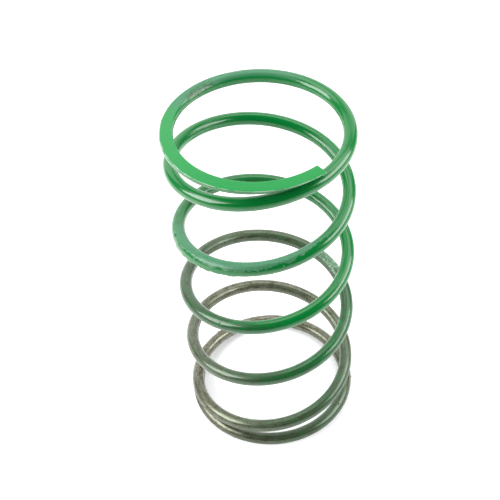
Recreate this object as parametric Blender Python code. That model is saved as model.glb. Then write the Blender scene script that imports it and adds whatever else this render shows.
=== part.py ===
"""Helical compression spring with closed and ground ends, in painted steel wire.

The spring stands on its bottom ground face: the origin is on the coil axis in that face's plane,
and +Z runs along the axis to the top ground face. The wire is wound right-handed. It is modelled
as quarter turns, cut in vertical planes through the axis, so that neighbouring quarter turns can
slide past each other along the axis as the spring is compressed.
"""

from math import acos, atan, ceil, cos, pi, radians, sin

import bmesh
import bpy

# Driving dimensions, in metres
OUTER_DIAMETER = 0.066
WIRE_DIAMETER = 0.0048
FREE_LENGTH = 0.136

# Winding, in turns of the wire counted from the bottom tip
TURNS = 6.39
TOP_TIP_ANGLE = radians(-52)  # about +Z from +X

# End coils: rise over one turn while closed, and the stretch of turns, counted from the nearer
# tip, over which the closed coil opens out to the working pitch
BOTTOM_RISE = 0.00235
BOTTOM_OPENS = (0.63, 1.45)
TOP_RISE = 0.0051
TOP_OPENS = (0.94, 1.15)

# Grinding. The wire's centre line starts a little above the bottom ground face, apart from the tip,
# which dips through the face over the first stretch of turns. It ends beyond the top ground face.
BOTTOM_START = 0.05 * WIRE_DIAMETER
BOTTOM_TIP_DIP = 0.25 * WIRE_DIAMETER
BOTTOM_DIP_TURNS = 0.3
TOP_TIP_BEYOND = 0.125 * WIRE_DIAMETER

# Quarter turns of the wire, and the clearance that keeps their meshes apart
QUARTERS_PER_TURN = 4
CLEARANCE = 0.0003

# Quarter turns that lie still in the bottom end coil, and the first one that moves as a whole
# with the top end coil
BOTTOM_END_QUARTERS = 5
TOP_END_FIRST_QUARTER = 21

# Mesh resolution: sides of the wire's section, and sections in a quarter turn
WIRE_SIDES = 12
STEPS_PER_QUARTER = 9

# Names of the four sectors, in winding order from the bottom tip
SECTORS = ("front_left", "front_right", "back_right", "back_left")

# Paint and bare steel: colour, roughness, metallic
GREEN_PAINT = ((0.010, 0.200, 0.035), 0.30, 0.0)
THIN_GREEN_PAINT = ((0.045, 0.150, 0.060), 0.38, 0.2)
OVERSPRAYED_STEEL = ((0.150, 0.165, 0.125), 0.42, 0.6)

WIRE_RADIUS = WIRE_DIAMETER / 2
COIL_RADIUS = OUTER_DIAMETER / 2 - WIRE_RADIUS


def opened(turns, opens):
    """Turns wound at the working pitch, as the pitch eases in smoothly over the stretch opens."""
    length = opens[1] - opens[0]
    share = (turns - opens[0]) / length
    if share <= 0:
        return 0.0
    if share >= 1:
        return length * (share - 0.5)
    return length * (share**3 - share**4 / 2)


def working_pitch():
    """The pitch of the open coils that gives the spring its free length."""
    half = TURNS / 2
    bottom, top = opened(half, BOTTOM_OPENS), opened(half, TOP_OPENS)
    rise = FREE_LENGTH + TOP_TIP_BEYOND - BOTTOM_START
    closed = BOTTOM_RISE * (half - bottom) + TOP_RISE * (half - top)
    return (rise - closed) / (bottom + top)


PITCH = working_pitch()


def centre_height(turns):
    """Height of the wire's centre line at a number of turns from the bottom tip."""
    if turns <= TURNS / 2:
        open_turns = opened(turns, BOTTOM_OPENS)
        start = BOTTOM_START - BOTTOM_TIP_DIP * max(0, 1 - turns / BOTTOM_DIP_TURNS) ** 2
        return start + BOTTOM_RISE * (turns - open_turns) + PITCH * open_turns
    left = TURNS - turns
    open_turns = opened(left, TOP_OPENS)
    return FREE_LENGTH + TOP_TIP_BEYOND - TOP_RISE * (left - open_turns) - PITCH * open_turns


def wire_angle(turns):
    """Angle about +Z of the wire at a number of turns from the bottom tip."""
    return TOP_TIP_ANGLE - 2 * pi * (TURNS - turns)


def section_points(turns, nearest_face):
    """The wire's section in the vertical plane through the axis, cut off flat at a ground face.

    The points run round from one edge of the ground flat to the other, and nearest_face is
    "bottom" or "top". Where the wire is whole, the flat is one side of an even polygon.
    """
    height = centre_height(turns)
    step = 1e-4
    slope = (centre_height(turns + step) - centre_height(turns - step)) / (2 * step)
    upright_radius = WIRE_RADIUS / cos(atan(slope / (2 * pi * COIL_RADIUS)))
    to_face = height if nearest_face == "bottom" else FREE_LENGTH - height
    flat_half_angle = pi / WIRE_SIDES
    if to_face < upright_radius * cos(flat_half_angle):
        flat_half_angle = acos(to_face / upright_radius)
    face_direction = -pi / 2 if nearest_face == "bottom" else pi / 2
    spread = 2 * (pi - flat_half_angle) / (WIRE_SIDES - 1)
    around = wire_angle(turns)
    points = []
    for side in range(WIRE_SIDES):
        angle = face_direction + flat_half_angle + side * spread
        radius = COIL_RADIUS + WIRE_RADIUS * cos(angle)
        points.append(
            (radius * cos(around), radius * sin(around), height + upright_radius * sin(angle))
        )
    return points


def wire_mesh(name, first, last):
    """A closed length of wire between two numbers of turns."""
    mesh = bpy.data.meshes.new(name)
    bm = bmesh.new()
    steps = max(2, ceil((last - first) * QUARTERS_PER_TURN * STEPS_PER_QUARTER))
    nearest_face = "bottom" if first + last < TURNS else "top"
    rings = []
    for i in range(steps + 1):
        turns = first + (last - first) * i / steps
        rings.append([bm.verts.new(p) for p in section_points(turns, nearest_face)])
    for ring, following in zip(rings, rings[1:]):
        for a in range(WIRE_SIDES):
            b = (a + 1) % WIRE_SIDES
            bm.faces.new((ring[a], ring[b], following[b], following[a]))
    bm.faces.new(rings[0])
    bm.faces.new(rings[-1])
    bmesh.ops.recalc_face_normals(bm, faces=bm.faces)
    bm.to_mesh(mesh)
    bm.free()
    mesh.shade_smooth()
    mesh.set_sharp_from_angle(angle=radians(45))
    return mesh


def finish_material(name, colour, roughness, metallic):
    """A plain Principled material."""
    material = bpy.data.materials.new(name)
    material.use_nodes = True
    shader = material.node_tree.nodes["Principled BSDF"]
    shader.inputs["Base Color"].default_value = (*colour, 1)
    shader.inputs["Roughness"].default_value = roughness
    shader.inputs["Metallic"].default_value = metallic
    return material


def finish_of(quarter):
    """Full paint on the top coils, thinner on the middle ones, a light overspray below."""
    if quarter >= 16:
        return GREEN_PAINT
    if quarter >= 9:
        return THIN_GREEN_PAINT
    return OVERSPRAYED_STEEL


def quarter_name(quarter):
    """Such as coil2_front_left: coils are counted from the bottom tip."""
    coil = quarter // QUARTERS_PER_TURN + 1
    return f"coil{coil}_{SECTORS[quarter % QUARTERS_PER_TURN]}"


def empty(name, parent=None):
    """A frame for the pieces that move together, on the coil axis."""
    frame = bpy.data.objects.new(name, None)
    bpy.context.scene.collection.objects.link(frame)
    frame.parent = parent
    return frame


def build_quarter(quarter, parent):
    """One quarter turn of wire, shorter than the real one by the clearance."""
    gap = CLEARANCE / (2 * pi * (COIL_RADIUS - WIRE_RADIUS))
    first = quarter / QUARTERS_PER_TURN
    last = min((quarter + 1) / QUARTERS_PER_TURN, TURNS)
    if quarter > 0:
        first += gap / 2
    if last < TURNS:
        last -= gap / 2
    name = quarter_name(quarter)
    wire = bpy.data.objects.new(name, wire_mesh(name, first, last))
    wire.data.materials.append(finish_material(name + "_finish", *finish_of(quarter)))
    bpy.context.scene.collection.objects.link(wire)
    wire.parent = parent
    return wire


def clear_scene():
    """Remove whatever the scene holds."""
    for thing in list(bpy.data.objects):
        bpy.data.objects.remove(thing, do_unlink=True)


def build_spring():
    """The whole wire: a still bottom end coil, working quarter turns in a chain, a top end coil."""
    bottom_end = empty("bottom_end_frame")
    top_end = empty("top_end_frame", bottom_end)
    below = bottom_end
    for quarter in range(ceil(TURNS * QUARTERS_PER_TURN)):
        if quarter < BOTTOM_END_QUARTERS:
            build_quarter(quarter, bottom_end)
        elif quarter < TOP_END_FIRST_QUARTER:
            below = empty(quarter_name(quarter) + "_frame", below)
            build_quarter(quarter, below)
        else:
            build_quarter(quarter, top_end)


clear_scene()
build_spring()
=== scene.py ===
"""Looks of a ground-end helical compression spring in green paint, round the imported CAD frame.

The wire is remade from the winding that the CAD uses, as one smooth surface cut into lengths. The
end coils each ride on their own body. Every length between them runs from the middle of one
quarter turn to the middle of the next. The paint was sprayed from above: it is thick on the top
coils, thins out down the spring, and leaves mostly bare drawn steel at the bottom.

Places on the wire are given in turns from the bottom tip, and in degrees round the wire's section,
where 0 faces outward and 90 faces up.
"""

import bmesh
import bpy
import numpy as np
from mathutils import Matrix, Vector


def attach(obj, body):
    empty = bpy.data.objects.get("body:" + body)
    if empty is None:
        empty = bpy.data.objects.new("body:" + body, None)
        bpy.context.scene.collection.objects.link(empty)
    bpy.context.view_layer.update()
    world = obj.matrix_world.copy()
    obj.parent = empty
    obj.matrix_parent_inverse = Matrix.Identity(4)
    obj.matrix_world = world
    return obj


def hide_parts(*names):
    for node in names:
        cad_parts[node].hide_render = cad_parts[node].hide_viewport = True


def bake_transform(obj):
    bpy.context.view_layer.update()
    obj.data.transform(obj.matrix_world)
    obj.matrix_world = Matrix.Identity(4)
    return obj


MM = 0.001

# ---------------------------------------------------------------- the spring, as the CAD has it
OUTER_DIAMETER = 66.0 * MM
WIRE_DIAMETER = 4.8 * MM
FREE_LENGTH = 136.0 * MM
WIRE_RADIUS = WIRE_DIAMETER / 2
COIL_RADIUS = OUTER_DIAMETER / 2 - WIRE_RADIUS
# Level length of one turn of the wire's centre line
TURN_LENGTH = 2 * np.pi * COIL_RADIUS

TURNS = 6.39
TOP_TIP_ANGLE = np.radians(-52)
# Rise per turn of each closed end coil, and the turns from its tip over which it opens out
BOTTOM_RISE = 2.35 * MM
BOTTOM_OPENS = (0.63, 1.45)
TOP_RISE = 5.1 * MM
TOP_OPENS = (0.94, 1.15)
# The bottom coil's centre line starts at this height, less a dip over its first turns
BOTTOM_START = 0.05 * WIRE_DIAMETER
BOTTOM_TIP_DIP = 0.25 * WIRE_DIAMETER
BOTTOM_DIP_TURNS = 0.3
# How far past the top ground face the centre line is at the top tip
TOP_TIP_BEYOND = 0.125 * WIRE_DIAMETER

# Quarter turns are numbered from 0 at the bottom tip
SECTORS = ("front_left", "front_right", "back_right", "back_left")
QUARTER_TURNS = 26
BOTTOM_END_LAST = 4
TOP_END_FIRST = 21

# The record's finishes, and the first quarter turn of the two upper ones
STEEL_SLOT = "oversprayed_steel"
THIN_SLOT = "thin_green_paint"
FULL_SLOT = "green_paint"
THIN_SLOT_FIRST = 9
FULL_SLOT_FIRST = 16

# ---------------------------------------------------------------- mesh resolution
RINGS_PER_QUARTER = 120
SIDES = 64
FLAT_COLUMNS = 7
EDGE_COLUMNS = 3
ARC_COLUMNS = SIDES - FLAT_COLUMNS - 2 * EDGE_COLUMNS
# How far a ground face's edges are rounded, and the most of its half width that this may take
EDGE_ROUNDING = 0.20 * MM
EDGE_SHARE = 0.4
# Half widths of a flat, as angles in radians at the centre of the wire's section: rings past the
# end of a ground face keep a flat of the first, and a flat counts as ground above the second
NARROWEST_FLAT = 0.05
NARROWEST_GROUND = 0.12
TIP_BEVEL = 0.10 * MM
# Hairline between the last open coil and the top coil, which rides on its own body
SEAM_GAP = 0.01 * MM

# ---------------------------------------------------------------- paint, wear and painted light on the wire
# What each point of the surface carries, from 0 to 1: paint cover, dry overspray (with a painted
# sheen on the back of the top face), worn edge (with a painted highlight on the outer edges of the
# ground faces), ground face (its paint painted lighter, as painted light) and dirt
VALUES = ("coat", "dust_and_sheen", "rim", "ground", "dirt")

# How much of the steel the green covers
COVER_TURNS = (0.0, 1.3, 1.9, 2.6, 3.2, 3.6, 4.2, 4.6, TURNS)
COVER = (0.28, 0.30, 0.42, 0.54, 0.66, 0.90, 0.95, 1.0, 1.0)
# The spray came from this side, so it covers more there and less on the far side. The difference
# fades out over the turn below SWING_ENDS.
SPRAY_SIDE = np.radians(-52)
SPRAY_SWING = 0.12
SPRAY_NEAR_EXTRA = 1.3
SWING_ENDS = 4.6

# The dry crust over the third coil down: its lower edge round the section along the wire, its
# upper edge, where it lies along the wire, and how fast it fades out
CRUST_TURNS = (4.0, 4.12, 4.19, 4.25, 4.30, 4.37)
CRUST_LOWER_EDGE = (60, 50, 40, 38, 48, 80)
CRUST_UPPER_EDGE = 175
CRUST_EDGE_EASE = 9
CRUST_STRETCH = (4.08, 4.36)
CRUST_STRETCH_EASE = 0.06
# Below this many degrees round the section an edge of the crust is its lower one
CRUST_MIDDLE = 120

# Marks: first and last turns, turns they fade out over, degrees they face, degrees they spread
PAINT_RUNS = (4.05, 4.22, 0.04, -48, 50)
CRAZED_PATCH = (2.605, 2.665, 0.015, 92, 70)
# The dull stretch is rougher paint on the back of the top face, and its paler colour is a painted
# sheen there
DULL_STRETCH_AND_SHEEN = (5.73, 5.94, 0.06, 92, 70)
CHIPPED_EDGE = (5.875, 5.925, 0.012, 132, 40)

# How far each stands off the true round wire, in millimetres, and what its lumps add. The chip goes
# inward by as much.
DRAWN_RELIEF = 0.006
CRUST_RELIEF = 0.06
CRUST_LUMPS = 0.09
RUN_LUMPS = 0.45
WRINKLE_RELIEF = 0.10
CHIP_RELIEF = 0.06
CHIP_LUMPS = 0.14

# How worn or pale some edges are, from 0 to 1
CRUST_EDGE_WEAR = 0.5
CRACK_WEAR = 0.6
TIP_EDGE_WEAR = 0.6
TIP_FACE_WEAR = 0.15

# Burrs and specks: turns, degrees, length along the wire, width and height in millimetres, and 1
# where it is dirt rather than paint
NODULES = (
    (0.18, 58, 0.9, 0.5, 0.20, 1),
    (0.44, 66, 1.2, 0.6, 0.25, 1),
    (0.52, 8, 1.0, 0.8, 0.45, 0),
    (0.90, 40, 1.3, 0.8, 0.50, 0),
    (1.66, 118, 1.0, 0.7, 0.40, 1),
    (1.74, 122, 0.6, 0.5, 0.25, 0),
    (3.19, 48, 0.7, 0.6, 0.20, 1),
    (3.95, 70, 0.6, 0.5, 0.20, 1),
    (3.965, 84, 0.5, 0.4, 0.15, 1),
    (4.53, -6, 1.1, 0.7, 0.45, 0),
    (5.472, 96, 0.9, 0.5, 0.15, 1),
    (5.905, 172, 0.8, 0.9, 0.50, 1),
)
NODULE_UNEVENNESS = 0.28
NODULE_DUST = 0.6
# Crumbs of dry paint under the crust: their turns and degrees, length in millimetres, and width
# and height as shares of it
CRUMB_COUNT = 26
CRUMB_TURNS = (4.15, 4.34)
CRUMB_DEGREES = (-48, 34)
CRUMB_LENGTH = (0.25, 0.75)
CRUMB_WIDTH = 0.8
CRUMB_HEIGHT = 0.6
CRUMB_SEED = 7

# ---------------------------------------------------------------- colours and gloss
WIRE_STEEL = (0.42, 0.39, 0.31, 1)
STAINED_STEEL = (0.085, 0.078, 0.046, 1)
PAINT = (0.0015, 0.200, 0.036, 1)
# The ground faces' paint is lighter than PAINT: painted light on faces that look up at the lamps
GROUND_FACE_PAINTED_LIGHT = (0.008, 0.300, 0.060, 1)
# Colour of dry overspray, and a painted sheen over the dull stretch on the back of the top face
DUSTY_PAINT_AND_SHEEN = (0.044, 0.225, 0.100, 1)
THIN_PAINT = (0.013, 0.085, 0.026, 1)
# Pale colour of worn edges, cracks and the tip, and a painted highlight on the outer edges of the
# ground faces
WORN_EDGE_AND_HIGHLIGHT = (0.50, 0.62, 0.50, 1)
DIRT = (0.060, 0.050, 0.028, 1)
STEEL_METALLIC = 0.85
GLOSS = 0.40
GLOSS_ROUGHNESS = 0.12
BUMP_HEIGHT = 0.012 * MM

# ---------------------------------------------------------------- studio, camera
FLOOR_SIDE = 6.0
FLOOR_COLOURS = ((0.90, 0.90, 0.91, 1), (0.93, 0.93, 0.94, 1))
FLOOR_GLOW = 0.28
FLOOR_GLOW_COLOUR = (0.97, 0.97, 1.0, 1)
# Name, azimuth and elevation it shines from in degrees, distance, width and height in metres,
# radiance
LIGHTS = (
    ("left_softbox", -173, 33, 0.50, 0.35, 0.29, 8.0),
    ("right_softbox", -6, 30, 0.50, 0.42, 0.27, 6.2),
    ("back_wall", 90, 22, 1.20, 2.40, 1.00, 1.2),
    ("back_ceiling", 90, 70, 1.20, 2.20, 0.70, 2.4),
)
WORLD_LIGHT = 0.02
WORLD_COLOUR = (0.96, 0.97, 1.0, 1)

LOOK_AT = Vector((0, 0, FREE_LENGTH / 2))
CAMERA_ELEVATION = np.radians(45.21)
CAMERA_ROLL = np.radians(-3.98)
CAMERA_DISTANCE = 400.9 * MM
# Sideways and up in the picture
CAMERA_OFFSET = (-5.47 * MM, 6.81 * MM)
CAMERA_LENS = 76.9
CAMERA_SENSOR = 36


# ---------------------------------------------------------------- winding
def opened(turns, opens):
    """Turns wound at the working pitch, as the pitch eases in smoothly over the stretch opens."""
    length = opens[1] - opens[0]
    share = np.clip((turns - opens[0]) / length, 0, None)
    return length * np.where(share < 1, share**3 - share**4 / 2, share - 0.5)


def working_pitch():
    """The pitch that makes the spring its free length."""
    half = TURNS / 2
    bottom = opened(half, BOTTOM_OPENS)
    top = opened(half, TOP_OPENS)
    closed = BOTTOM_RISE * (half - bottom) + TOP_RISE * (half - top)
    return (FREE_LENGTH + TOP_TIP_BEYOND - BOTTOM_START - closed) / (bottom + top)


PITCH = float(working_pitch())


def wire_angle(turns):
    """Angle of the wire's centre line about +Z."""
    return TOP_TIP_ANGLE - 2 * np.pi * (TURNS - turns)


def wire_height(turns):
    """Height of the wire's centre line."""
    at_bottom = opened(turns, BOTTOM_OPENS)
    start = BOTTOM_START - BOTTOM_TIP_DIP * np.clip(1 - turns / BOTTOM_DIP_TURNS, 0, None) ** 2
    low = start + BOTTOM_RISE * (turns - at_bottom) + PITCH * at_bottom
    left = TURNS - turns
    at_top = opened(left, TOP_OPENS)
    high = FREE_LENGTH + TOP_TIP_BEYOND - TOP_RISE * (left - at_top) - PITCH * at_top
    return np.where(turns <= TURNS / 2, low, high)


def wire_axes(turns):
    """Level unit vectors at one place: outward from the spring's axis, and along the wire."""
    angle = wire_angle(turns)
    outward = np.array([np.cos(angle), np.sin(angle), 0.0])
    along = np.array([-np.sin(angle), np.cos(angle), 0.0])
    return outward, along


def centre_point(turns):
    """Where the wire's centre line is at one place."""
    point = COIL_RADIUS * wire_axes(turns)[0]
    point[2] = wire_height(turns)
    return point


def upright_radius(turns):
    """Half height of the wire's section in the vertical plane through the axis."""
    step = 0.001
    rise = (wire_height(turns + step) - wire_height(turns - step)) / (2 * step)
    return WIRE_RADIUS * np.sqrt(1 + (rise / TURN_LENGTH) ** 2)


def middle_of(quarter):
    """Turns at the middle of a quarter turn."""
    return (quarter + 0.5) / 4


# ---------------------------------------------------------------- random texture
def lattice(cell, seed):
    """A random number from 0 to 1 for each whole-numbered point, by scrambling its bits."""
    mixed = cell[..., 0] * 73856093 ^ cell[..., 1] * 19349663 ^ cell[..., 2] * 83492791
    mixed = mixed ^ seed * 2654435761
    mixed = (mixed ^ mixed >> 13) * 1274126177 & 0xFFFFFFFF
    mixed = (mixed ^ mixed >> 16) * 2246822519 & 0xFFFFFFFF
    return (mixed >> 8 & 0xFFFF) / 0xFFFF


def noise(points, size, seed):
    """Smooth noise from -1 to 1 whose lumps are about size across."""
    all_positive = 1000
    scaled = points / size + all_positive
    cell = np.floor(scaled).astype(np.int64)
    part = scaled - cell
    part = part * part * (3 - 2 * part)
    total = 0
    for corner in np.ndindex(2, 2, 2):
        weight = np.prod(np.where(corner, part, 1 - part), axis=-1)
        total = total + weight * lattice(cell + corner, seed)
    return 2 * total - 1


def patch(value, start, end, ease):
    """1 between start and end, fading out to 0 over ease beyond them."""
    outside = np.maximum(start - value, value - end)
    share = np.clip(1 - outside / ease, 0, 1)
    return share * share * (3 - 2 * share)


def mark(turns, around, place):
    """One of the marks on the wire: 1 in its middle, fading out to 0 round it."""
    first, last, ease, degrees, spread = place
    away = (np.degrees(around) - degrees + 180) % 360 - 180
    facing = patch(away, -spread / 2, spread / 2, spread / 2)
    return facing * patch(turns, first, last, ease)


# ---------------------------------------------------------------- sections of the wire
# A section gives four arrays, with a row for each ring and a column for each side: the offsets
# outward and upward from the centre line, 1 on the edges of a ground face, and 1 on a ground face
# and its edges.
def round_section(turns):
    """The full round wire."""
    around = np.linspace(0, 2 * np.pi, SIDES, endpoint=False)
    out = np.tile(WIRE_RADIUS * np.cos(around), (len(turns), 1))
    up = upright_radius(turns)[:, None] * np.sin(around)
    return out, up, np.zeros_like(out), np.zeros_like(out)


def rounded_corner(start, corner, end):
    """Points strictly between start and end, on a curve that rounds off the corner."""
    share = np.linspace(0, 1, EDGE_COLUMNS + 2)[1:-1]
    return (1 - share) ** 2 * start + 2 * share * (1 - share) * corner + share**2 * end


def ground_masks(half_angle):
    """1 on the edges of a ground face, and 1 on the face and its edges, where it is wide enough."""
    edge = np.zeros((len(half_angle), SIDES))
    edge[:, ARC_COLUMNS : ARC_COLUMNS + EDGE_COLUMNS] = 1
    edge[:, -EDGE_COLUMNS:] = 1
    ground = np.zeros_like(edge)
    ground[:, ARC_COLUMNS:] = 1
    wide_enough = half_angle > NARROWEST_GROUND
    return edge * wide_enough, ground * wide_enough


def ground_section(turns, face):
    """The wire cut by a ground face: +1 is the top one, -1 the bottom."""
    upright = upright_radius(turns)[:, None]
    height = wire_height(turns)[:, None]
    to_face = FREE_LENGTH - height if face > 0 else height
    half_angle = np.arccos(np.clip(to_face / upright, -1, np.cos(NARROWEST_FLAT)))
    half_width = WIRE_RADIUS * np.sin(half_angle)
    rounding = np.minimum(EDGE_ROUNDING, EDGE_SHARE * half_width)

    arc_start = half_angle + rounding / WIRE_RADIUS
    share = np.linspace(0, 1, ARC_COLUMNS)
    arc = arc_start + share * (2 * np.pi - 2 * arc_start)
    arc_out = WIRE_RADIUS * np.sin(arc)
    arc_up = upright * np.cos(arc)

    flat_out = np.linspace(-1, 1, FLAT_COLUMNS) * (half_width - rounding)
    flat_up = np.minimum(upright * np.sqrt(1 - (flat_out / WIRE_RADIUS) ** 2), to_face)

    corner_up = upright * np.cos(half_angle)
    inner_out = rounded_corner(arc_out[:, -1:], -half_width, flat_out[:, :1])
    inner_up = rounded_corner(arc_up[:, -1:], corner_up, flat_up[:, :1])
    outer_out = rounded_corner(flat_out[:, -1:], half_width, arc_out[:, :1])
    outer_up = rounded_corner(flat_up[:, -1:], corner_up, arc_up[:, :1])

    out = np.hstack((arc_out, inner_out, flat_out, outer_out))
    up = face * np.hstack((arc_up, inner_up, flat_up, outer_up))
    edge, ground = ground_masks(half_angle)
    if face > 0:
        # The columns run the same way round the wire whichever face is ground
        return out[:, ::-1], up[:, ::-1], edge[:, ::-1], ground[:, ::-1]
    return out, up, edge, ground


def bottom_section(turns):
    """The wire of the bottom coil."""
    return ground_section(turns, -1)


def top_section(turns):
    """The wire of the top coil."""
    return ground_section(turns, 1)


def wire_space(turns, around):
    """Millimetres along the wire and across its section: texture made in it stays on the wire."""
    radius = WIRE_RADIUS / MM
    along = TURN_LENGTH / MM * turns
    across = (radius * np.cos(around), radius * np.sin(around))
    return np.stack(np.broadcast_arrays(along, *across), axis=-1)


# ---------------------------------------------------------------- what the spray and wear left, and painted light
def paint_cover(turns):
    """How much of the steel the green covers, 0 to 1."""
    towards_spray = np.cos(wire_angle(turns) - SPRAY_SIDE)
    near_side = np.maximum(towards_spray, 0) ** 2
    swing = SPRAY_SWING * (towards_spray + SPRAY_NEAR_EXTRA * near_side)
    lower = np.clip(SWING_ENDS - turns, 0, 1)
    return np.clip(np.interp(turns, COVER_TURNS, COVER) + swing * lower, 0, 1)


def dry_crust(turns, around, space):
    """The thick dry layer over the front of the third coil, and its ragged lower edge."""
    lower_edge = np.interp(turns, CRUST_TURNS, CRUST_LOWER_EDGE)
    ragged = 16 * noise(space, size=1.9, seed=11) + 12 * noise(space, size=0.7, seed=12)
    up_round = (np.degrees(around) + 90) % 360 - 90
    covered = patch(up_round + ragged, lower_edge, CRUST_UPPER_EDGE, CRUST_EDGE_EASE)
    broken_edge = 4 * covered * (1 - covered) * (up_round < CRUST_MIDDLE)
    along = patch(turns, *CRUST_STRETCH, CRUST_STRETCH_EASE)
    return covered * along, broken_edge * along**3


def chipped_edge(turns, around, space):
    """The broken inner edge of the top ground face at the back left."""
    ragged = 10 * noise(space, size=1.1, seed=21)
    return mark(turns, around + np.radians(ragged), CHIPPED_EDGE)


def wrinkles(space):
    """The wrinkles of crazed paint: 0 in the cracks between them."""
    return np.abs(noise(space, size=0.8, seed=34))


def relief(turns, around, space):
    """How far the surface stands off the true round wire, in metres."""
    drawn = DRAWN_RELIEF * noise(space * (0.12, 1, 1), size=1.0, seed=31)
    lumps = 0.5 + 0.5 * noise(space, size=1.3, seed=32) + 0.3 * noise(space, size=0.55, seed=33)
    crust = dry_crust(turns, around, space)[0] * (CRUST_RELIEF + CRUST_LUMPS * lumps)
    runs = mark(turns, around, PAINT_RUNS) * RUN_LUMPS * lumps
    crazed = mark(turns, around, CRAZED_PATCH) * WRINKLE_RELIEF * wrinkles(space)
    chip = -chipped_edge(turns, around, space) * (CHIP_RELIEF + CHIP_LUMPS * lumps)
    return MM * (drawn + crust + runs + crazed + chip)


def surface_values(turns, around, space, edge, ground):
    """What each point of the surface carries, by the names in VALUES."""
    coat = np.broadcast_to(paint_cover(turns), around.shape)
    crust, crust_edge = dry_crust(turns, around, space)
    crazed = mark(turns, around, CRAZED_PATCH)
    # The dull stretch is rougher paint, and its paler colour there is a painted sheen
    dust_and_sheen = np.maximum(np.maximum(crust, mark(turns, around, DULL_STRETCH_AND_SHEEN)), crazed)
    worn = 0.5 + 0.5 * noise(space, size=2.2, seed=41) + 0.4 * noise(space, size=0.7, seed=42)
    worn = np.clip(worn, 0, 1)
    cracks = crazed * np.clip(1 - 4 * wrinkles(space), 0, 1)
    # The outer edge of a ground face is painted pale: partly a worn bare edge, partly a painted
    # highlight
    outer_edge_wear_and_highlight = edge * worn * (np.cos(around) > 0)
    rim = outer_edge_wear_and_highlight + CRUST_EDGE_WEAR * crust_edge * worn + CRACK_WEAR * cracks
    grime = np.clip(0.4 + 0.5 * noise(space, size=0.7, seed=43), 0, 1)
    dirt = chipped_edge(turns, around, space) * grime
    return {"coat": coat, "dust_and_sheen": dust_and_sheen, "rim": rim, "ground": ground, "dirt": dirt}


# ---------------------------------------------------------------- meshes
def grid_points(turns, section):
    """Surface points of the rings, their places in wire space, and the surface values at each."""
    out, up, edge, ground = section(turns)
    turn_column = turns[:, None]
    around = np.arctan2(up, out)
    space = wire_space(turn_column, around)
    stand_off = relief(turn_column, around, space)
    out = out + stand_off * np.cos(around)
    up = up + stand_off * np.sin(around)
    angle = wire_angle(turn_column)
    reach = COIL_RADIUS + out
    height = np.clip(wire_height(turn_column) + up, 0, FREE_LENGTH)
    points = np.stack((reach * np.cos(angle), reach * np.sin(angle), height), axis=-1)
    values = surface_values(turn_column, around, space, edge, ground)
    return points, space, values


def grid_normals(points):
    """Normals of the inner rings of a closed grid of points."""
    along = points[2:] - points[:-2]
    across = (np.roll(points, -1, axis=1) - np.roll(points, 1, axis=1))[1:-1]
    normals = np.cross(along, across)
    return normals / np.linalg.norm(normals, axis=-1, keepdims=True)


def grid_faces(rings):
    """Quads between neighbouring rings, facing outward."""
    ring = np.arange(rings - 1)[:, None] * SIDES
    side = np.arange(SIDES)[None, :]
    beside = (side + 1) % SIDES
    corners = (ring + side, ring + SIDES + side, ring + SIDES + beside, ring + beside)
    return np.stack(corners, axis=-1).reshape(-1, 4).tolist()


class Shell:
    """Vertices, normals, faces and surface values of one length of wire."""

    def __init__(self):
        self.points = []
        self.normals = []
        self.faces = []
        self.values = []
        self.count = 0

    def add(self, points, normals, faces, space, values):
        """Adds vertices, and faces between them."""
        size = len(points)
        self.faces += [[corner + self.count for corner in face] for face in faces]
        self.points.append(points)
        self.normals.append(normals)
        columns = [space] + [np.broadcast_to(values[key], size)[:, None] for key in VALUES]
        self.values.append(np.hstack(columns))
        self.count += size

    def build(self, name):
        """The Blender object."""
        mesh = bpy.data.meshes.new(name)
        mesh.from_pydata(np.vstack(self.points).tolist(), [], self.faces)
        mesh.normals_split_custom_set_from_vertices(np.vstack(self.normals).tolist())
        values = np.vstack(self.values)
        wire = mesh.attributes.new("wire", "FLOAT_VECTOR", "POINT")
        wire.data.foreach_set("vector", values[:, :3].ravel())
        for number, key in enumerate(VALUES):
            layer = mesh.attributes.new(key, "FLOAT", "POINT")
            layer.data.foreach_set("value", values[:, 3 + number].copy())
        piece = bpy.data.objects.new(name, mesh)
        bpy.context.scene.collection.objects.link(piece)
        return piece


def add_wire(shell, first, last, section):
    """Adds the wire's surface between two turns."""
    rings = round((last - first) * 4 * RINGS_PER_QUARTER) + 1
    step = (last - first) / (rings - 1)
    # One more ring at each end, for the normals only
    turns = first + step * np.arange(-1, rings + 1)
    points, space, values = grid_points(turns, section)
    normals = grid_normals(points).reshape(-1, 3)
    points = points[1:-1].reshape(-1, 3)
    space = space[1:-1].reshape(-1, 3)
    values = {key: value[1:-1].ravel() for key, value in values.items()}
    shell.add(points, normals, grid_faces(rings), space, values)


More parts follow.
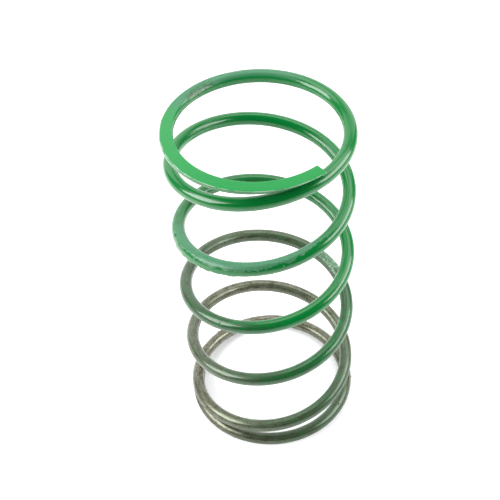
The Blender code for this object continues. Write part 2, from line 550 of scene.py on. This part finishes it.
def add_tip(shell, turns, way, section):
    """Closes the wire's tip with a face that has a small bevelled edge. way is +1 at the top."""
    beyond = way * TIP_BEVEL / TURN_LENGTH
    points, space, values = grid_points(np.array([turns, turns + beyond]), section)
    middle = points[1].mean(axis=0)
    reach = points[1] - middle
    length = np.linalg.norm(reach, axis=-1, keepdims=True)
    inset = middle + reach * (1 - TIP_BEVEL / np.maximum(length, 2 * TIP_BEVEL))
    forward = way * wire_axes(turns)[1]
    outward = reach / length
    slanted = (outward + forward) / np.linalg.norm(outward + forward, axis=-1, keepdims=True)
    bevel = grid_faces(2)
    cap = list(range(SIDES))
    if way < 0:
        bevel = [face[::-1] for face in bevel]
    else:
        cap = cap[::-1]

    bare = {key: np.zeros(SIDES) for key in VALUES}
    bare["coat"] = values["coat"][1]
    bare["rim"] = np.full(SIDES, TIP_EDGE_WEAR)
    both_rings = {key: np.hstack((value, value)) for key, value in bare.items()}
    both_points = np.vstack((points[0], inset))
    both_normals = np.vstack((slanted, slanted))
    shell.add(both_points, both_normals, bevel, np.vstack((space[0], space[1])), both_rings)
    bare["rim"] = np.full(SIDES, TIP_FACE_WEAR)
    shell.add(inset, np.broadcast_to(forward, (SIDES, 3)), [cap], space[1], bare)


# ---------------------------------------------------------------- burrs, crumbs and specks
def unit_ball():
    """Points and faces of a ball of radius 1."""
    ball = bmesh.new()
    bmesh.ops.create_icosphere(ball, subdivisions=2, radius=1)
    points = np.array([vertex.co[:] for vertex in ball.verts])
    faces = [[vertex.index for vertex in face.verts] for face in ball.faces]
    ball.free()
    return points, faces


def add_nodule(shell, turns, degrees, size, dirt, seed):
    """Adds a small closed lump that sits half sunk in the wire's surface."""
    ball, faces = unit_ball()
    apart = 7.3
    lumps = noise(ball + seed * apart, size=0.9, seed=50 + seed)[:, None]
    shape = ball * (1 + NODULE_UNEVENNESS * lumps) * np.array(size) * MM / 2

    around = np.radians(degrees)
    radial, along = wire_axes(turns)
    upward = np.array([0.0, 0.0, 1.0])
    outward = radial * np.cos(around) + upward * np.sin(around)
    across = upward * np.cos(around) - radial * np.sin(around)
    axes = np.stack((along, across, outward))
    points = centre_point(turns) + outward * WIRE_RADIUS + shape @ axes
    points[:, 2] = np.clip(points[:, 2], 0, FREE_LENGTH)
    normals = ball / np.array(size)
    normals = normals / np.linalg.norm(normals, axis=-1, keepdims=True) @ axes

    space = wire_space(np.array(turns), np.array(around)) + shape / MM
    values = {key: 0.0 for key in VALUES}
    values["coat"] = paint_cover(turns)
    values["dust_and_sheen"] = NODULE_DUST * (1 - dirt)
    values["dirt"] = float(dirt)
    shell.add(points, normals, faces, space, values)


def crumbs():
    """Crumbs of dry paint that cling under the dry crust, as rows of the same kind as NODULES."""
    random = np.random.default_rng(CRUMB_SEED)
    rows = []
    for _ in range(CRUMB_COUNT):
        turns = random.uniform(*CRUMB_TURNS)
        degrees = random.uniform(*CRUMB_DEGREES)
        length = random.uniform(*CRUMB_LENGTH)
        rows.append((turns, degrees, length, length * CRUMB_WIDTH, length * CRUMB_HEIGHT, 0))
    return rows


def add_nodules(shell, first, last):
    """Adds the nodules and crumbs whose place lies on this length of wire."""
    for seed, row in enumerate((*NODULES, *crumbs())):
        turns, degrees, *size, dirt = row
        if first <= turns < last:
            add_nodule(shell, turns, degrees, size, dirt, seed)


# ---------------------------------------------------------------- materials
class Graph:
    """A material's node tree, with short calls for the nodes it is made of."""

    def __init__(self, name):
        self.material = bpy.data.materials.new(name)
        self.material.use_nodes = True
        self.tree = self.material.node_tree
        self.tree.nodes.clear()

    def node(self, kind, settings=None, **inputs):
        """A node with its settings and its inputs, which are values or other nodes' outputs."""
        made = self.tree.nodes.new(kind)
        for key, value in (settings or {}).items():
            setattr(made, key, value)
        for key, value in inputs.items():
            self.put(made.inputs[key.replace("_", " ")], value)
        return made

    def put(self, socket, value):
        """Sets a socket, or links it."""
        if isinstance(value, bpy.types.NodeSocket):
            self.tree.links.new(value, socket)
        else:
            socket.default_value = value

    def attribute(self, name):
        """A surface value's number."""
        return self.node("ShaderNodeAttribute", {"attribute_name": name}).outputs["Fac"]

    def texture(self, space, size, detail, stretch):
        """Noise about size millimetres across, and stretch times as long along the wire."""
        scale = (1 / (size * stretch), 1 / size, 1 / size)
        mapped = self.node("ShaderNodeMapping", Vector=space, Scale=scale).outputs["Vector"]
        inputs = {"Vector": mapped, "Scale": 1.0, "Detail": detail, "Roughness": 0.6}
        return self.node("ShaderNodeTexNoise", **inputs).outputs["Fac"]

    def math(self, operation, first, second):
        """A sum, product or difference."""
        made = self.node("ShaderNodeMath", {"operation": operation})
        self.put(made.inputs[0], first)
        self.put(made.inputs[1], second)
        return made.outputs[0]

    def product(self, first, second):
        """Two numbers or outputs multiplied."""
        return self.math("MULTIPLY", first, second)

    def sum(self, *terms):
        """The sum of numbers or outputs."""
        total = terms[0]
        for term in terms[1:]:
            total = self.math("ADD", total, term)
        return total

    def ramp(self, value, low, high, start=0.0, end=1.0):
        """start where value is below low, end where it is above high, smooth between."""
        made = self.node("ShaderNodeMapRange", {"interpolation_type": "SMOOTHSTEP"}, Value=value)
        made.inputs["From Min"].default_value = low
        made.inputs["From Max"].default_value = high
        made.inputs["To Min"].default_value = start
        made.inputs["To Max"].default_value = end
        return made.outputs["Result"]

    def mix(self, share, first, second):
        """A colour between two."""
        made = self.node("ShaderNodeMix", {"data_type": "RGBA"})
        self.put(made.inputs["Factor"], share)
        self.put(made.inputs[6], first)
        self.put(made.inputs[7], second)
        return made.outputs[2]

    def blend(self, share, first, second):
        """A number between two."""
        made = self.node("ShaderNodeMix", {"data_type": "FLOAT"})
        self.put(made.inputs[0], share)
        self.put(made.inputs[2], first)
        self.put(made.inputs[3], second)
        return made.outputs[0]


def wire_grain(graph):
    """Noise that stays on the wire, fine and coarse, each about 0.5 on average."""
    space = graph.node("ShaderNodeAttribute", {"attribute_name": "wire"}).outputs["Vector"]
    return {
        "draw_lines": graph.texture(space, size=0.22, detail=2.0, stretch=60.0),
        "mottle": graph.texture(space, size=2.2, detail=3.0, stretch=1.6),
        "speckle": graph.texture(space, size=0.42, detail=2.0, stretch=1.2),
        "peel": graph.texture(space, size=0.9, detail=2.0, stretch=1.0),
    }


def steel_colour(graph, grain):
    """Drawn steel, stained dark in specks and patches."""
    clean = graph.sum(
        graph.product(grain["draw_lines"], 0.3),
        graph.product(grain["mottle"], 0.5),
        graph.product(grain["speckle"], 0.7),
    )
    return graph.mix(graph.ramp(clean, low=0.62, high=0.92), STAINED_STEEL, WIRE_STEEL)


def paint_hold(graph, values, grain):
    """How much paint the steel holds: the cover, patchy and speckled where it isn't full."""
    mottle = graph.product(graph.math("SUBTRACT", grain["mottle"], 0.5), 0.70)
    speckle = graph.product(graph.math("SUBTRACT", grain["speckle"], 0.5), 1.10)
    patchiness = graph.ramp(values["coat"], low=0.85, high=1.0, start=1.0, end=0.2)
    return graph.sum(values["coat"], graph.product(graph.sum(mottle, speckle), patchiness))


def surface_colour(graph, values, grain, film, solid):
    """Steel, then the paint over it, painted lighter on the ground faces as painted light and with
    a painted sheen on the dull stretch, then worn edges with a painted highlight, and dirt.
    """
    # The ground faces get the lighter green: painted light
    thick = graph.mix(values["ground"], PAINT, GROUND_FACE_PAINTED_LIGHT)
    paint = graph.mix(solid, THIN_PAINT, thick)
    # Dry overspray, which on the back of the top face is also a painted sheen
    paint = graph.mix(values["dust_and_sheen"], paint, DUSTY_PAINT_AND_SHEEN)
    colour = graph.mix(film, steel_colour(graph, grain), paint)
    # Worn pale edges, with a painted highlight on the outer edges of the ground faces
    colour = graph.mix(values["rim"], colour, WORN_EDGE_AND_HIGHLIGHT)
    return graph.mix(values["dirt"], colour, DIRT)


def surface_roughness(graph, values, grain, film, solid):
    """Rougher where the paint is thin or dry and where there is dirt."""
    steel = graph.ramp(grain["mottle"], low=0.3, high=0.7, start=0.40, end=0.26)
    paint = graph.blend(solid, 0.30, 0.20)
    paint = graph.sum(paint, graph.product(values["dust_and_sheen"], 0.30))
    painted = graph.blend(film, steel, paint)
    return graph.sum(painted, graph.product(values["dirt"], 0.4))


def surface_bump(graph, values, grain):
    """Drawing lines and grit that the paint fills in, dry spray, and orange peel."""
    line_depth = graph.ramp(values["coat"], low=0.6, high=1.0, start=0.9, end=0.25)
    lines = graph.product(grain["draw_lines"], line_depth)
    grit_height = graph.ramp(values["coat"], low=0.5, high=1.0, start=4.0, end=0.2)
    grit = graph.product(grain["speckle"], grit_height)
    dry_spray = graph.product(graph.product(grain["speckle"], values["dust_and_sheen"]), 4.0)
    height = graph.sum(lines, grit, dry_spray, grain["peel"])
    bump = graph.node("ShaderNodeBump", Height=height, Strength=1.0, Distance=BUMP_HEIGHT)
    return bump.outputs["Normal"]


def painted_wire(name):
    """Drawn steel under green spray paint, which covers it as the surface values say."""
    graph = Graph(name)
    grain = wire_grain(graph)
    values = {key: graph.attribute(key) for key in VALUES}
    hold = paint_hold(graph, values, grain)
    film = graph.ramp(hold, low=0.0, high=0.85)
    solid = graph.ramp(hold, low=0.62, high=1.0)
    shader = graph.node(
        "ShaderNodeBsdfPrincipled",
        Base_Color=surface_colour(graph, values, grain, film, solid),
        Metallic=graph.product(graph.math("SUBTRACT", 1.0, film), STEEL_METALLIC),
        Roughness=surface_roughness(graph, values, grain, film, solid),
        Normal=surface_bump(graph, values, grain),
        Coat_Weight=GLOSS,
        Coat_Roughness=GLOSS_ROUGHNESS,
    )
    graph.node("ShaderNodeOutputMaterial", Surface=shader.outputs["BSDF"])
    return graph.material


def studio_floor_material():
    """Matt white card with a faint unevenness."""
    graph = Graph("studio_floor")
    place = graph.node("ShaderNodeTexCoord").outputs["Object"]
    grain = graph.node("ShaderNodeTexNoise", Vector=place, Scale=9.0, Detail=2.0).outputs["Fac"]
    colour = graph.mix(grain, *FLOOR_COLOURS)
    shader = graph.node("ShaderNodeBsdfPrincipled", Base_Color=colour, Roughness=0.9)
    shader.inputs["Emission Color"].default_value = FLOOR_GLOW_COLOUR
    shader.inputs["Emission Strength"].default_value = FLOOR_GLOW
    graph.node("ShaderNodeOutputMaterial", Surface=shader.outputs["BSDF"])
    return graph.material


# ---------------------------------------------------------------- the spring's pieces
def node_name(quarter):
    """The CAD node of a quarter turn."""
    return f"coil{quarter // 4 + 1}_{SECTORS[quarter % 4]}"


def slot_name(quarter):
    """The record's finish for a quarter turn of wire."""
    if quarter < THIN_SLOT_FIRST:
        return STEEL_SLOT
    if quarter < FULL_SLOT_FIRST:
        return THIN_SLOT
    return FULL_SLOT


def finish_piece(shell, name, slot, materials, quarters):
    """Makes the piece, gives it its finish, and lets it stand for its CAD nodes."""
    piece = shell.build(name)
    piece.data.materials.append(materials[slot])
    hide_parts(*[node_name(quarter) for quarter in quarters])
    return piece


def bottom_coil(materials):
    """The closed coil at the bottom, ground flat to stand on."""
    last = middle_of(BOTTOM_END_LAST)
    shell = Shell()
    add_wire(shell, 0, last, bottom_section)
    add_tip(shell, 0, -1, bottom_section)
    add_nodules(shell, 0, last)
    quarters = range(BOTTOM_END_LAST + 1)
    piece = finish_piece(shell, "bottom_coil", STEEL_SLOT, materials, quarters)
    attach(piece, "bottom_end")


def top_coil(materials):
    """The closed coil at the top, ground flat and painted all over."""
    first = middle_of(TOP_END_FIRST - 1) + SEAM_GAP / TURN_LENGTH
    shell = Shell()
    add_wire(shell, first, TURNS, top_section)
    add_tip(shell, TURNS, 1, top_section)
    add_nodules(shell, first, TURNS)
    quarters = range(TOP_END_FIRST, QUARTER_TURNS)
    piece = finish_piece(shell, "top_coil", FULL_SLOT, materials, quarters)
    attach(piece, "top_end")


def blend_span(quarter):
    """Two points on the level chord between a length's two end rings, pulled in from their centres.

    Each end ring stands at 45 degrees to the chord. The points are pulled in by the ring's reach
    along the chord.
    """
    start = centre_point(middle_of(quarter))
    end = centre_point(middle_of(quarter + 1))
    end[2] = start[2]
    chord = (end - start) / np.linalg.norm(end - start)
    pull_in = chord * WIRE_RADIUS * np.sqrt(0.5)
    return tuple(start + pull_in), tuple(end - pull_in)


def open_coils(materials):
    """The lengths between the end coils, each standing in for one quarter turn's CAD node."""
    for quarter in range(BOTTOM_END_LAST, TOP_END_FIRST - 1):
        above = quarter + 1
        first = middle_of(quarter)
        last = middle_of(above)
        shell = Shell()
        add_wire(shell, first, last, round_section)
        add_nodules(shell, first, last)
        name = f"wire_{node_name(above)}"
        piece = finish_piece(shell, name, slot_name(above), materials, [above])
        start, end = blend_span(quarter)
        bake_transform(piece)


# ---------------------------------------------------------------- studio
def add_floor():
    """The white floor that the spring stands on."""
    mesh = bpy.data.meshes.new("studio_floor")
    half = FLOOR_SIDE / 2
    outline = [(-half, -half, 0), (half, -half, 0), (half, half, 0), (-half, half, 0)]
    mesh.from_pydata(outline, [], [(0, 1, 2, 3)])
    floor = bpy.data.objects.new("studio_floor", mesh)
    bpy.context.scene.collection.objects.link(floor)
    mesh.materials.append(studio_floor_material())


def add_light(name, azimuth, elevation, distance, width, height, radiance):
    """A softbox that faces the spring."""
    light = bpy.data.lights.new(name, "AREA")
    light.shape = "RECTANGLE"
    light.size = width
    light.size_y = height
    light.energy = radiance * np.pi * width * height
    lamp = bpy.data.objects.new(name, light)
    bpy.context.scene.collection.objects.link(lamp)
    turn = np.radians(azimuth)
    climb = np.radians(elevation)
    level = np.cos(climb)
    towards = Vector((np.cos(turn) * level, np.sin(turn) * level, np.sin(climb)))
    lamp.location = LOOK_AT + towards * distance
    lamp.rotation_euler = towards.to_track_quat("Z", "Y").to_euler()


def add_world():
    """Weak even light from all round."""
    world = bpy.data.worlds.new("studio")
    world.use_nodes = True
    background = world.node_tree.nodes["Background"]
    background.inputs["Color"].default_value = WORLD_COLOUR
    background.inputs["Strength"].default_value = WORLD_LIGHT
    bpy.context.scene.world = world


def add_camera():
    """Looks down at the front of the spring, with the slight roll of the photograph."""
    camera_data = bpy.data.cameras.new("camera")
    camera_data.lens = CAMERA_LENS
    camera_data.sensor_width = CAMERA_SENSOR
    camera = bpy.data.objects.new("camera", camera_data)
    bpy.context.scene.collection.objects.link(camera)
    bpy.context.scene.camera = camera

    back = Vector((0, -np.cos(CAMERA_ELEVATION), np.sin(CAMERA_ELEVATION)))
    level = Vector((1, 0, 0))
    upright = back.cross(level)
    right = np.cos(CAMERA_ROLL) * level + np.sin(CAMERA_ROLL) * upright
    top = np.cos(CAMERA_ROLL) * upright - np.sin(CAMERA_ROLL) * level
    shifted = level * CAMERA_OFFSET[0] + upright * CAMERA_OFFSET[1]
    place = LOOK_AT + back * CAMERA_DISTANCE + shifted
    turned = Matrix((right, top, back)).transposed().to_4x4()
    camera.matrix_world = Matrix.Translation(place) @ turned


def corners(box):
    """A box as plain lists of numbers."""
    return [[float(number) for number in corner] for corner in box]


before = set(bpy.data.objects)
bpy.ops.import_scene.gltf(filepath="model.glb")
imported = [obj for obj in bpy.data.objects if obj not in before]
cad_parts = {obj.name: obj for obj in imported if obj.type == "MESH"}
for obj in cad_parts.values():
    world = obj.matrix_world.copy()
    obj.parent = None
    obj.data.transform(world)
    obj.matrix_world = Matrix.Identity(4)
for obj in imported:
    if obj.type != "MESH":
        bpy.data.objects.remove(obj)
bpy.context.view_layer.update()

add_camera()
add_world()
for light in LIGHTS:
    add_light(*light)
add_floor()
bpy.context.scene.view_settings.view_transform = "Standard"

slots = (STEEL_SLOT, THIN_SLOT, FULL_SLOT)
finishes = {slot: painted_wire(f"wire_{slot}") for slot in slots}
bottom_coil(finishes)
open_coils(finishes)
top_coil(finishes)
